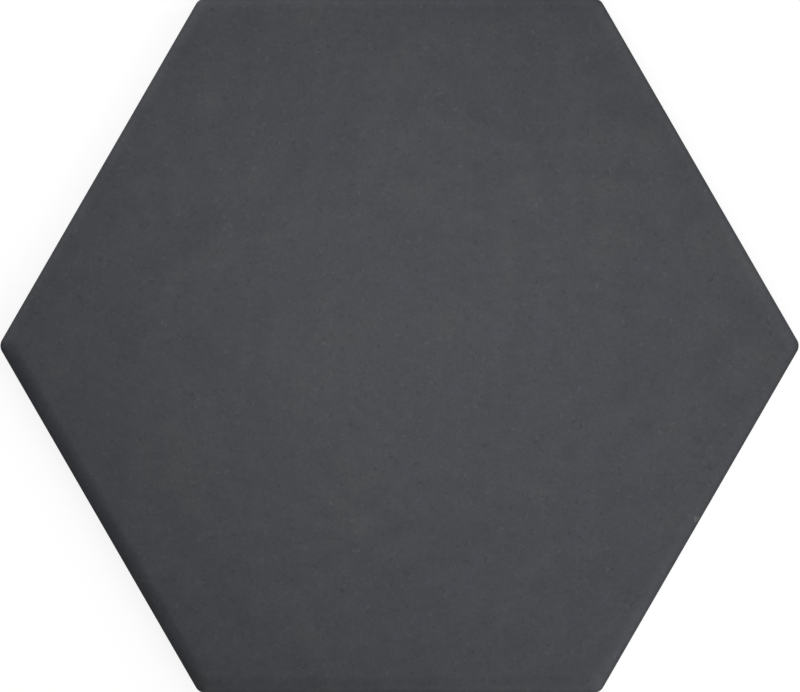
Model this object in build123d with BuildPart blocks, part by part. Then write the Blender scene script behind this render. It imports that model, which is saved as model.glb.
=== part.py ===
from build123d import *

import os
from math import asin, cos, degrees, radians, sin

# A hexagonal porcelain tile with a cushioned face edge and a keyed back, pressed and fired as one piece.
# It lies face up: the origin is the middle of the back, +Z points out of the face, and two opposite
# corners point along X. Lengths are in millimetres and angles in degrees.

# Outline
across_flats = 200.0
corner_radius = 3.2
thickness = 9.0

# Cushioned edge: an arc that leaves the face level and falls towards the side
cushion_width = 5.0
cushion_drop = 1.8
cushion_sections = 6
arris_radius = 0.5

# Sides: they lean in towards the back, so that the pressed tile leaves its die
side_draft = 2.0
back_edge_radius = 0.6

# Keyed back: shallow six-sided pockets between ribs that stand in the adhesive, inside a plain rim
rim_width = 8.0
rib_width = 3.0
pocket_rings = 6
pocket_depth = 0.8
pocket_draft = 35.0

apothem = across_flats / 2
side_height = thickness - cushion_drop
cushion_radius = (cushion_width**2 + cushion_drop**2) / (2 * cushion_drop)
cushion_angle = degrees(asin(cushion_width / cushion_radius))

# The pockets stand in rings about the middle one, and the points of the outermost ones reach the rim
cos30 = cos(radians(30))
pocket_pitch = (apothem - rim_width + rib_width / (2 * cos30)) / (pocket_rings * cos30 + 1 / (2 * cos30))
pocket_apothem = (pocket_pitch - rib_width) / 2
row_pitch = pocket_pitch * cos30
pocket_centres = [
    (pocket_pitch * (column + row / 2), row_pitch * row)
    for row in range(-pocket_rings, pocket_rings + 1)
    for column in range(max(0, -row) - pocket_rings, pocket_rings - max(0, row) + 1)
]

# One pocket, as the stud on the press punch that leaves it
with BuildPart() as pocket:
    with BuildSketch(Plane.XY):
        RegularPolygon(pocket_apothem, 6, major_radius=False, rotation=30)
    extrude(amount=pocket_depth, taper=pocket_draft)

with BuildPart() as tile:
    # The sides, from the tile's widest line down to its back
    with BuildSketch(Plane.XY.offset(side_height)) as widest_outline:
        RegularPolygon(apothem, 6, major_radius=False)
        fillet(widest_outline.vertices(), corner_radius)
    extrude(amount=side_height, dir=(0, 0, -1), taper=side_draft)

    # The cushioned edge, lofted through outlines that climb its arc to the face
    for section in range(cushion_sections):
        slope = cushion_angle * (1 - section / (cushion_sections - 1))
        inset = cushion_width - cushion_radius * sin(radians(slope))
        level = thickness - cushion_radius * (1 - cos(radians(slope)))
        with BuildSketch(Plane.XY.offset(level)) as cushion_outline:
            RegularPolygon(apothem - inset, 6, major_radius=False)
            fillet(cushion_outline.vertices(), corner_radius)
    loft()

    # The soft edges above and below the sides
    widest_edges = tile.edges().filter_by_position(Axis.Z, side_height, side_height)
    fillet(widest_edges, arris_radius)
    back_edges = tile.faces().sort_by(Axis.Z)[0].edges()
    fillet(back_edges, back_edge_radius)

    # The keyed back
    with Locations(*pocket_centres):
        add(pocket.part, mode=Mode.SUBTRACT)

tile.part.label = "hexagonal_tile"
os.makedirs("parts", exist_ok=True)
export_step(tile.part, "parts/hexagonal_tile.step")
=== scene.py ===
from math import asin, atan2, copysign, cos, floor, pi, radians, sin, sqrt, tan

import bmesh
import bpy
from mathutils import Matrix, Vector, noise


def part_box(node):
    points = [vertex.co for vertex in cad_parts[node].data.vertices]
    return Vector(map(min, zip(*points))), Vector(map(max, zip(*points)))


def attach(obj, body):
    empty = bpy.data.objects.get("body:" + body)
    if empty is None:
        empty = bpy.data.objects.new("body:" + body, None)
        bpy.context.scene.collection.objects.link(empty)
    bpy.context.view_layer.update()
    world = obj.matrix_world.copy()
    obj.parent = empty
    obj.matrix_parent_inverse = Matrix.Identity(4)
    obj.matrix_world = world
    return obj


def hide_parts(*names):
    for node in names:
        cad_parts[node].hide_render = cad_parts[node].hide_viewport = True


# A hexagonal porcelain tile lies face up on a white floor, and the camera looks straight down on it. The
# tile is one pressed and fired piece, so one mesh stands for its solid. That mesh is shaped in millimetres
# and brought to the frame's metres once it is whole.
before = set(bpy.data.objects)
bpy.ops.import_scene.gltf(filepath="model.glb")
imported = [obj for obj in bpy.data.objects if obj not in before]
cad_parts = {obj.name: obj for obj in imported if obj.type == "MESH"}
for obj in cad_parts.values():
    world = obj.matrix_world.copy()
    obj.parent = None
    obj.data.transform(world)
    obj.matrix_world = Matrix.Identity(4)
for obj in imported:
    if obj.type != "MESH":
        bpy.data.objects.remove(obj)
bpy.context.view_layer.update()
mm = 0.001

# Pressed face: the upper die leaves a level hexagonal face, whose edge falls away on an arc, the cushion.
# Rings of small triangles carry it, closer together on the cushion and round the corners.
tile_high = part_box("hexagonal_tile")[1]
half_width = tile_high.y / mm
thickness = tile_high.z / mm
corner_radius = 3.2
cushion_width = 5.0
cushion_drop = 1.8
arris_radius = 0.5
flat_rings = 88
cushion_rings = 18
corner_share = 0.07
sway_length = 55.0
sway_depth = 0.05
side_turn = radians(60)

cushion_radius = (cushion_width**2 + cushion_drop**2) / (2 * cushion_drop)
flat_reach = half_width - cushion_width
arris_slope = asin((cushion_width - arris_radius) / (cushion_radius - arris_radius))


def arc_profile(centre, radius, first_slope, last_slope, steps):
    """Points of the cross-section along an arc, each as its reach from the tile's axis and its height."""
    slopes = [first_slope + (last_slope - first_slope) * step / steps for step in range(steps + 1)]
    return [(centre[0] + radius * sin(slope), centre[1] + radius * cos(slope)) for slope in slopes]


def outline_point(share):
    """A point on a side of the outline of unit reach, for a share of that side from -0.5 to 0.5."""
    rounding = corner_radius / half_width
    straight = (1 - rounding) * tan(side_turn / 2)
    straight_share = 0.5 - corner_share
    if abs(share) <= straight_share:
        return Vector((1, straight * share / straight_share, 0))
    turn = side_turn / 2 * (abs(share) - straight_share) / corner_share
    along = straight + rounding * sin(turn)
    return Vector((1 - rounding + rounding * cos(turn), copysign(along, share), 0))


cushion_centre = (flat_reach, thickness - cushion_radius)
face_profile = [(flat_reach * ring / flat_rings, thickness) for ring in range(flat_rings)]
face_profile += arc_profile(cushion_centre, cushion_radius, 0, arris_slope, cushion_rings)

# A fan of six triangles, each divided into rows, is a lattice with one ring for each profile point
rings = flat_rings + cushion_rings
tile = bmesh.new()
bmesh.ops.create_circle(
    tile,
    cap_ends=True,
    cap_tris=True,
    segments=6,
    radius=rings / cos(side_turn / 2),
    matrix=Matrix.Rotation(side_turn / 2, 4, "Z"),
)
bmesh.ops.subdivide_edges(tile, edges=tile.edges[:], cuts=rings - 1, use_grid_fill=True)
for vert in tile.verts:
    side = floor(atan2(vert.co.y, vert.co.x) / side_turn) + 0.5
    lattice = Matrix.Rotation(-side * side_turn, 3, "Z") @ vert.co
    reach, height = face_profile[round(lattice.x)]
    share = lattice.y / (2 * lattice.x * tan(side_turn / 2)) if reach else 0
    vert.co = Matrix.Rotation(side * side_turn, 3, "Z") @ (reach * outline_point(share))
    # The fired face sways a little, out to where the cushion starts
    sway = 0.5 + 0.5 * noise.noise(vert.co / sway_length)
    vert.co.z = height - sway_depth * sway * max(0, min(1, (flat_reach - reach) / sway_length))
bare, glazed = 0, 1
for face in tile.faces:
    face.material_index = glazed

# Sides: below its softened arris the tile leans in towards the back, so that it leaves the die. The
# sprayed glaze covers only their upper part and stops in a wavy line, below which the body is bare.
side_draft = radians(2)
back_edge_radius = 0.6
glaze_thickness = 0.08
glaze_stop = 4.7
glaze_wave = 0.9
glaze_wave_length = 7.0
arris_steps = 5
back_edge_steps = 4
back_margin = 0.5

lean = radians(90) + side_draft
arris_height = cushion_centre[1] + (cushion_radius - arris_radius) * cos(arris_slope)
arris_centre = (half_width - arris_radius, arris_height)
arris_profile = arc_profile(arris_centre, arris_radius, arris_slope, lean, arris_steps)[1:]


def side_reach(height):
    """How far the leaning side stands from the axis at a height."""
    top_reach, top_height = arris_profile[-1]
    return top_reach - (top_height - height) * tan(side_draft)


def draw_down(edges, old_reach, reach, height, coat, wave):
    """Extrudes the tile's open edge to a new reach and height, and returns the new open edge."""
    drawn = bmesh.ops.extrude_edge_only(tile, edges=edges)["geom"]
    for part in drawn:
        if isinstance(part, bmesh.types.BMVert):
            part.co.xy *= reach / old_reach
            part.co.z = height + wave * noise.noise(part.co.xy.to_3d() / glaze_wave_length)
        if isinstance(part, bmesh.types.BMFace):
            part.material_index = coat
    return [part for part in drawn if isinstance(part, bmesh.types.BMEdge) and part.is_boundary]


glaze_foot = glaze_stop - glaze_thickness
back_edge_top = back_edge_radius * (1 + cos(lean))
back_reach = side_reach(back_edge_top) - glaze_thickness - back_edge_radius * sin(lean)
back_edge_profile = arc_profile((back_reach, back_edge_radius), back_edge_radius, lean, pi, back_edge_steps)
side_stations = [(*point, glazed, 0) for point in arris_profile]
side_stations.append((side_reach(glaze_stop), glaze_stop, glazed, glaze_wave))
side_stations.append((side_reach(glaze_foot) - glaze_thickness, glaze_foot, bare, glaze_wave))
side_stations += [(*point, bare, 0) for point in back_edge_profile]
side_stations.append((back_reach - back_margin, 0, bare, 0))
open_edge = [edge for edge in tile.edges if edge.is_boundary]
old_reach = face_profile[-1][0]
for reach, height, coat, wave in side_stations:
    open_edge = draw_down(open_edge, old_reach, reach, height, coat, wave)
    old_reach = reach

# Keyed back: the lower punch presses a honeycomb of shallow pockets into the dry clay. The ribs between
# them and the plain rim round them stand in one plane, and they are what beds into the adhesive.
rim_width = 8.0
rib_width = 3.0
pocket_rings = 6
pocket_depth = 0.8
pocket_draft = radians(35)
pocket_corner = 0.7
lip_radius = 0.3
pocket_floor_radius = 0.4

cos30 = cos(radians(30))
pocket_pitch = (half_width - rim_width + rib_width / (2 * cos30)) / (pocket_rings * cos30 + 1 / (2 * cos30))
pocket_reach = (pocket_pitch - rib_width) / 2

# A pocket's cross-section, from the flat of the ribs over a rounded lip and down to its floor
wall_slope = radians(90) - pocket_draft
lip_reach = pocket_reach + lip_radius * tan(wall_slope / 2)
wall_foot = pocket_reach - pocket_depth * tan(pocket_draft)
floor_reach = wall_foot - pocket_floor_radius * tan(wall_slope / 2)
floor_arc_reach = floor_reach + pocket_floor_radius * sin(wall_slope)
floor_arc_height = pocket_depth - pocket_floor_radius * (1 - cos(wall_slope))
pocket_profile = [
    (lip_reach + lip_radius, 0),
    (lip_reach, 0),
    (lip_reach - lip_radius * sin(wall_slope), lip_radius * (1 - cos(wall_slope))),
    (floor_arc_reach, floor_arc_height),
    (floor_reach, pocket_depth),
]

back = bmesh.new()
for row in range(-pocket_rings, pocket_rings + 1):
    for column in range(max(0, -row) - pocket_rings, pocket_rings - max(0, row) + 1):
        centre = Vector((pocket_pitch * (column + row / 2), pocket_pitch * cos30 * row, 0))
        bmesh.ops.create_circle(
            back,
            cap_ends=True,
            segments=6,
            radius=pocket_profile[0][0] / cos30,
            matrix=Matrix.Translation(centre),
        )
bmesh.ops.bevel(
    back,
    geom=back.verts[:],
    offset=pocket_corner,
    segments=1,
    profile=0.5,
    affect="VERTICES",
    material=-1,
)
pocket_floors = back.faces[:]
old_reach = pocket_profile[0][0]
for reach, height in pocket_profile[1:]:
    pocket_floors = bmesh.ops.extrude_discrete_faces(back, faces=pocket_floors)["faces"]
    for pocket_floor in pocket_floors:
        centre = pocket_floor.calc_center_median()
        for vert in pocket_floor.verts:
            vert.co.xy = centre.xy + (vert.co - centre).xy * reach / old_reach
            vert.co.z = height
    old_reach = reach
back_mesh = bpy.data.meshes.new("keyed_back")
back.to_mesh(back_mesh)
back.free()
tile.from_mesh(back_mesh)
bpy.data.meshes.remove(back_mesh)

# The flat of the ribs and the rim closes the tile, between the open edge of its sides and the pockets
back_loops = [edge for edge in tile.edges if edge.is_boundary]
back_flat = bmesh.ops.triangle_fill(tile, edges=back_loops, use_beauty=True, normal=(0, 0, -1))["geom"]
for part in back_flat:
    if isinstance(part, bmesh.types.BMFace):
        part.material_index = bare
bmesh.ops.recalc_face_normals(tile, faces=tile.faces[:])

# Nick: a small chip has broken out of the edge on the lower right and shows the bare body. Porcelain breaks
# in shallow scoops, so the mesh there is divided finer and pressed inwards and down onto an uneven ball.
nick_side = radians(330)
nick_along = -0.3
nick_reach = 99.6
nick_height = 8.6
nick_radius = 1.5
nick_unevenness = 0.24
nick_grain = 0.7
nick_cuts = 3
nick_coarse = 0.4
nick_margin = 0.6

nick_centre = Matrix.Rotation(nick_side, 3, "Z") @ Vector((nick_reach, nick_along, nick_height))
nick_press = Matrix.Rotation(nick_side, 3, "Z") @ Vector((-1, 0, -1)).normalized()
nick_area = {vert for vert in tile.verts if (vert.co - nick_centre).length < nick_radius + nick_margin}
area_edges = [edge for edge in tile.edges if not nick_area.isdisjoint(edge.verts)]
nick_edges = [edge for edge in area_edges if edge.calc_length() > nick_coarse]
bmesh.ops.subdivide_edges(tile, edges=nick_edges, cuts=nick_cuts, use_grid_fill=True)
chipped = set()
for vert in tile.verts:
    out = vert.co - nick_centre
    scoop = nick_radius * (1 + nick_unevenness * noise.noise(vert.co / nick_grain))
    if out.length < scoop:
        pressed = out.dot(nick_press)
        vert.co += nick_press * (sqrt(pressed**2 + scoop**2 - out.length_squared) - pressed)
        chipped.add(vert)
for face in tile.faces:
    face.smooth = True
    if chipped.issuperset(face.verts):
        face.material_index = bare
for edge in tile.edges:
    edge.smooth = len({face.material_index for face in edge.link_faces}) == 1

# The whole mesh, brought to metres, stands for the tile's solid
bmesh.ops.scale(tile, vec=(mm, mm, mm), verts=tile.verts[:])
tile_mesh = bpy.data.meshes.new("porcelain_tile")
tile.to_mesh(tile_mesh)
tile.free()
tile_piece = bpy.data.objects.new("porcelain_tile", tile_mesh)
bpy.context.scene.collection.objects.link(tile_piece)
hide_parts("hexagonal_tile")
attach(tile_piece, "root")

# Fired porcelain body: clay, feldspar and sand pressed dry and fired until they fuse. Left bare it is dull
# and a little gritty, with fine grains in it, and the ribs keep a thin pale film of the kiln's wash.
body_roughness = 0.75
body_patterns = ((28.0, 4, 0.35), (0.8, 2, 0.55))
octave_gain = 0.95
body_grit_size = 0.5
body_grit_depth = 0.02
wash_patch_size = 11.0
wash_patch_range = (0.4, 0.65)
wash_depth = 0.12
wash_gain = 0.75


def linear(hex_colour):
    """The linear colour of an sRGB hex value."""
    channels = [int(hex_colour[at:at + 2], 16) / 255 for at in (1, 3, 5)]
    return [c / 12.92 if c <= 0.04045 else ((c + 0.055) / 1.055) ** 2.4 for c in channels] + [1]


def add_node(tree, kind, inputs, **settings):
    """Adds a node with its settings; each input is linked to a socket or set to a value."""
    node = tree.nodes.new(kind)
    for name, value in settings.items():
        setattr(node, name, value)
    for name, value in inputs.items():
        if isinstance(value, bpy.types.NodeSocket):
            tree.links.new(value, node.inputs[name])
        else:
            node.inputs[name].default_value = value
    return node


def mottled(tree, place, patterns):
    """A shade about 1 that noise makes uneven; a pattern has a size in mm, its octaves and its contrast."""
    shade = 1 - sum(contrast for size, octaves, contrast in patterns) / 2
    for size, octaves, contrast in patterns:
        pattern = add_node(
            tree,
            "ShaderNodeTexNoise",
            {"Vector": place, "Scale": 1 / (size * mm), "Detail": octaves - 1, "Roughness": octave_gain},
        )
        added = add_node(
            tree,
            "ShaderNodeMath",
            {0: pattern.outputs["Fac"], 1: contrast, 2: shade},
            operation="MULTIPLY_ADD",
        )
        shade = added.outputs["Value"]
    return shade


body_grey = linear("#6a6b6c")
body = bpy.data.materials.new("fired_porcelain_body")
body.use_nodes = True
tree = body.node_tree
surface = tree.nodes["Principled BSDF"]
place = add_node(tree, "ShaderNodeTexCoord", {}).outputs["Object"]
height = add_node(tree, "ShaderNodeSeparateXYZ", {"Vector": place}).outputs["Z"]
shade = mottled(tree, place, body_patterns)

# The wash lies in patches, and only on what touched the kiln's rollers
patches = add_node(
    tree,
    "ShaderNodeTexNoise",
    {"Vector": place, "Scale": 1 / (wash_patch_size * mm), "Detail": 5, "Roughness": 0.7},
)
wash = add_node(
    tree,
    "ShaderNodeMapRange",
    {
        "Value": patches.outputs["Fac"],
        "From Min": wash_patch_range[0],
        "From Max": wash_patch_range[1],
        "To Min": 0,
        "To Max": wash_gain,
    },
)
wash = add_node(
    tree,
    "ShaderNodeMapRange",
    {"Value": height, "From Max": wash_depth * mm, "To Min": wash.outputs["Result"], "To Max": 0},
)
shade = add_node(tree, "ShaderNodeMath", {0: shade, 1: wash.outputs["Result"]}, operation="ADD")
colour = add_node(
    tree,
    "ShaderNodeHueSaturation",
    {"Color": body_grey, "Value": shade.outputs["Value"]},
)
tree.links.new(colour.outputs["Color"], surface.inputs["Base Color"])
grit = add_node(
    tree,
    "ShaderNodeTexNoise",
    {"Vector": place, "Scale": 1 / (body_grit_size * mm), "Detail": 1},
)
relief = add_node(
    tree,
    "ShaderNodeBump",
    {"Height": grit.outputs["Fac"], "Distance": body_grit_depth * mm, "Strength": 1},
)
tree.links.new(relief.outputs["Normal"], surface.inputs["Normal"])
surface.inputs["Roughness"].default_value = body_roughness

# Matt glaze: a charcoal slip sprayed over the face and fired with the body. It lies in faint clouds and a
# fine grain, with a few pale and dark specks, is painted darker over the steep edge as painted shade, and
# its skin is slightly dimpled, so it scatters light softly. Grain and specks are drawn as coarse as they
# need to show.
glaze_grey = linear("#4b4d53")
glaze_patterns = ((12.0, 3, 0.42), (1.3, 3, 0.6))
glaze_roughness = (0.56, 0.64)
roughness_range = (0.3, 0.7)
specks = ((1.32, 2.7, 0.6), (0.7, 2.9, 0.6))
speck_warp_size = 1.3
speck_warp = 3.0
speck_core = 0.3
# Painted shade: below these heights in mm the glaze colour is drawn darker over the steep edge and glazed
# sides
edge_painted_shade = 0.66
painted_shade_top = 8.1
painted_shade_deepest = 7.4
tint_size = 22.0
tint_range = (0.34, 0.52)
tint_saturation = (0.55, 1.08)
dimples = ((2.4, 0.010), (0.7, 0.006))

glaze = bpy.data.materials.new("matt_charcoal_glaze")
glaze.use_nodes = True
tree = glaze.node_tree
surface = tree.nodes["Principled BSDF"]
place = add_node(tree, "ShaderNodeTexCoord", {}).outputs["Object"]
shade = mottled(tree, place, glaze_patterns)
warp = add_node(
    tree,
    "ShaderNodeTexNoise",
    {"Vector": place, "Scale": 1 / (speck_warp_size * mm), "Detail": 1},
)
warped = add_node(
    tree,
    "ShaderNodeVectorMath",
    {0: warp.outputs["Color"], 1: [speck_warp * mm] * 3, 2: place},
    operation="MULTIPLY_ADD",
)
for speck_shade, speck_spacing, speck_radius in specks:
    spots = add_node(
        tree,
        "ShaderNodeTexVoronoi",
        {"Vector": warped.outputs["Vector"], "Scale": 1 / (speck_spacing * mm)},
    )
    speckled = add_node(
        tree,
        "ShaderNodeMapRange",
        {
            "Value": spots.outputs["Distance"],
            "From Min": speck_core * speck_radius / speck_spacing,
            "From Max": speck_radius / speck_spacing,
            "To Min": speck_shade,
            "To Max": shade,
        },
    )
    shade = speckled.outputs["Result"]
height = add_node(tree, "ShaderNodeSeparateXYZ", {"Vector": place}).outputs["Z"]
# Painted shade: the colour darkens with falling height over the outer cushion, the arris and the glazed
# sides
painted_edge_shade = add_node(
    tree,
    "ShaderNodeMapRange",
    {"Value": height, "From Min": painted_shade_deepest * mm, "From Max": painted_shade_top * mm, "To Min": edge_painted_shade},
)
shade = add_node(tree, "ShaderNodeMath", {0: shade, 1: painted_edge_shade.outputs["Result"]}, operation="MULTIPLY")
tint = add_node(
    tree,
    "ShaderNodeTexNoise",
    {"Vector": place, "Scale": 1 / (tint_size * mm), "Detail": 3, "Roughness": 0.8},
)
saturation = add_node(
    tree,
    "ShaderNodeMapRange",
    {
        "Value": tint.outputs["Fac"],
        "From Min": tint_range[0],
        "From Max": tint_range[1],
        "To Min": tint_saturation[0],
        "To Max": tint_saturation[1],
    },
)
colour = add_node(
    tree,
    "ShaderNodeHueSaturation",
    {"Color": glaze_grey, "Value": shade.outputs["Value"], "Saturation": saturation.outputs["Result"]},
)
tree.links.new(colour.outputs["Color"], surface.inputs["Base Color"])
roughness = add_node(
    tree,
    "ShaderNodeMapRange",
    {
        "Value": tint.outputs["Fac"],
        "From Min": roughness_range[0],
        "From Max": roughness_range[1],
        "To Min": glaze_roughness[0],
        "To Max": glaze_roughness[1],
    },
)
tree.links.new(roughness.outputs["Result"], surface.inputs["Roughness"])
normal = surface.inputs["Normal"]
for dimple_size, dimple_depth in dimples:
    skin = add_node(
        tree,
        "ShaderNodeTexNoise",
        {"Vector": place, "Scale": 1 / (dimple_size * mm), "Detail": 1},
    )
    relief = add_node(
        tree,
        "ShaderNodeBump",
        {"Height": skin.outputs["Fac"], "Distance": dimple_depth * mm, "Strength": 1},
    )
    tree.links.new(relief.outputs["Normal"], normal)
    normal = relief.inputs["Normal"]
tile_mesh.materials.append(body)
tile_mesh.materials.append(glaze)

# Floor: a wide sheet of white paper, turned up far off into a low backdrop, so that a level view ends on it
# too. The camera sees it white, and near the tile, where it glows a little less, it still takes the shadow.
# Its own colour is a grey, which throws little light back at the tile. Its sizes are in metres.
floor_radius = 12.0
floor_sides = 64
floor_gap = 0.2 * mm
backdrop_height = 1.0
near_glow, far_glow = 0.89, 1.0
near_edge, far_edge = 0.12, 0.4
paper_grey = linear("#808080")
paper_white = linear("#ffffff")
paper_roughness = 0.9

floor_mesh = bpy.data.meshes.new("floor")
floor_sheet = bmesh.new()
bmesh.ops.create_circle(
    floor_sheet,
    cap_ends=True,
    segments=floor_sides,
    radius=floor_radius,
    matrix=Matrix.Translation((0, 0, -floor_gap)),
)
backdrop = bmesh.ops.extrude_edge_only(floor_sheet, edges=floor_sheet.edges[:])["geom"]
backdrop_top = [part for part in backdrop if isinstance(part, bmesh.types.BMVert)]
bmesh.ops.translate(floor_sheet, vec=(0, 0, backdrop_height), verts=backdrop_top)
floor_sheet.to_mesh(floor_mesh)
floor_sheet.free()
floor_piece = bpy.data.objects.new("floor", floor_mesh)
bpy.context.scene.collection.objects.link(floor_piece)

paper = bpy.data.materials.new("white_paper")
paper.use_nodes = True
tree = paper.node_tree
surface = tree.nodes["Principled BSDF"]
surface.inputs["Base Color"].default_value = paper_grey
surface.inputs["Roughness"].default_value = paper_roughness
surface.inputs["Emission Color"].default_value = paper_white
light_path = add_node(tree, "ShaderNodeLightPath", {})
seen = light_path.outputs["Is Camera Ray"]
for ray in ("Is Glossy Ray", "Is Transmission Ray"):
    either = add_node(tree, "ShaderNodeMath", {0: seen, 1: light_path.outputs[ray]}, operation="MAXIMUM")
    seen = either.outputs["Value"]
place = add_node(tree, "ShaderNodeTexCoord", {}).outputs["Object"]
away = add_node(tree, "ShaderNodeVectorMath", {0: place}, operation="LENGTH")
glow = add_node(
    tree,
    "ShaderNodeMapRange",
    {
        "Value": away.outputs["Value"],
        "From Min": near_edge,
        "From Max": far_edge,
        "To Min": near_glow,
        "To Max": far_glow,
    },
)
glow = add_node(tree, "ShaderNodeMath", {0: seen, 1: glow.outputs["Result"]}, operation="MULTIPLY")
tree.links.new(glow.outputs["Value"], surface.inputs["Emission Strength"])
floor_mesh.materials.append(paper)

# Lights: softboxes round the tile, all but on its lower left, where the cushion falls into shade. Each has
# its direction in degrees, counted from +X and up from the floor, then its distance, height and width in
# metres and its power in watts.
for name, azimuth, elevation, distance, box_height, box_width, power in (
    ("left_overhead", 133.0, 76.0, 0.21, 0.15, 0.15, 0.09),
    ("right_overhead", 0.0, 76.0, 0.21, 0.15, 0.15, 0.082),
    ("right_key", 0.0, 40.0, 0.8, 0.3, 0.3, 1.04),
    ("upper_key", 30.0, 30.0, 0.8, 0.3, 0.3, 0.97),
    ("left_fill", 135.0, 30.0, 0.4, 0.06, 0.2, 0.16),
    ("right_fill", 300.0, 30.0, 0.4, 0.06, 0.2, 0.285),
    ("left_strip", 120.0, 4.0, 1.6, 0.1, 0.8, 9.8),
    ("right_strip", 290.0, 4.0, 0.8, 0.06, 0.6, 0.6),
):
    lamp = bpy.data.lights.new(name, "AREA")
    lamp.shape = "RECTANGLE"
    lamp.size = box_height
    lamp.size_y = box_width
    lamp.energy = power
    lamp_piece = bpy.data.objects.new(name, lamp)
    aim = Matrix.Rotation(radians(azimuth), 4, "Z") @ Matrix.Rotation(radians(90 - elevation), 4, "Y")
    lamp_piece.matrix_world = aim @ Matrix.Translation((0, 0, distance))
    lamp_piece.visible_camera = False
    bpy.context.scene.collection.objects.link(lamp_piece)

# The room itself is dark
world = bpy.data.worlds.new("studio")
world.use_nodes = True
world.node_tree.nodes["Background"].inputs["Strength"].default_value = 0
bpy.context.scene.world = world

# Camera: straight above the tile, far off and with a long lens, so that the sides stay hidden as in the
# photo. Its frame is 800 pixels wide, and the tile's widest line is drawn at a fixed scale in it. The tile
# lies a fraction of a pixel off the middle.
image_width = 800
pixels_per_metre = 3473
camera_height = 1.6
view_shift = (0.5, -0.3)
widest_line = 7.2 * mm
sensor_width = 36

camera_data = bpy.data.cameras.new("camera")
camera_data.sensor_width = sensor_width
camera_data.lens = sensor_width * camera_height * pixels_per_metre / image_width
camera = bpy.data.objects.new("camera", camera_data)
camera.location = (
    view_shift[0] / pixels_per_metre,
    view_shift[1] / pixels_per_metre,
    camera_height + widest_line,
)
bpy.context.scene.collection.objects.link(camera)
bpy.context.scene.camera = camera
bpy.context.scene.view_settings.view_transform = "Standard"
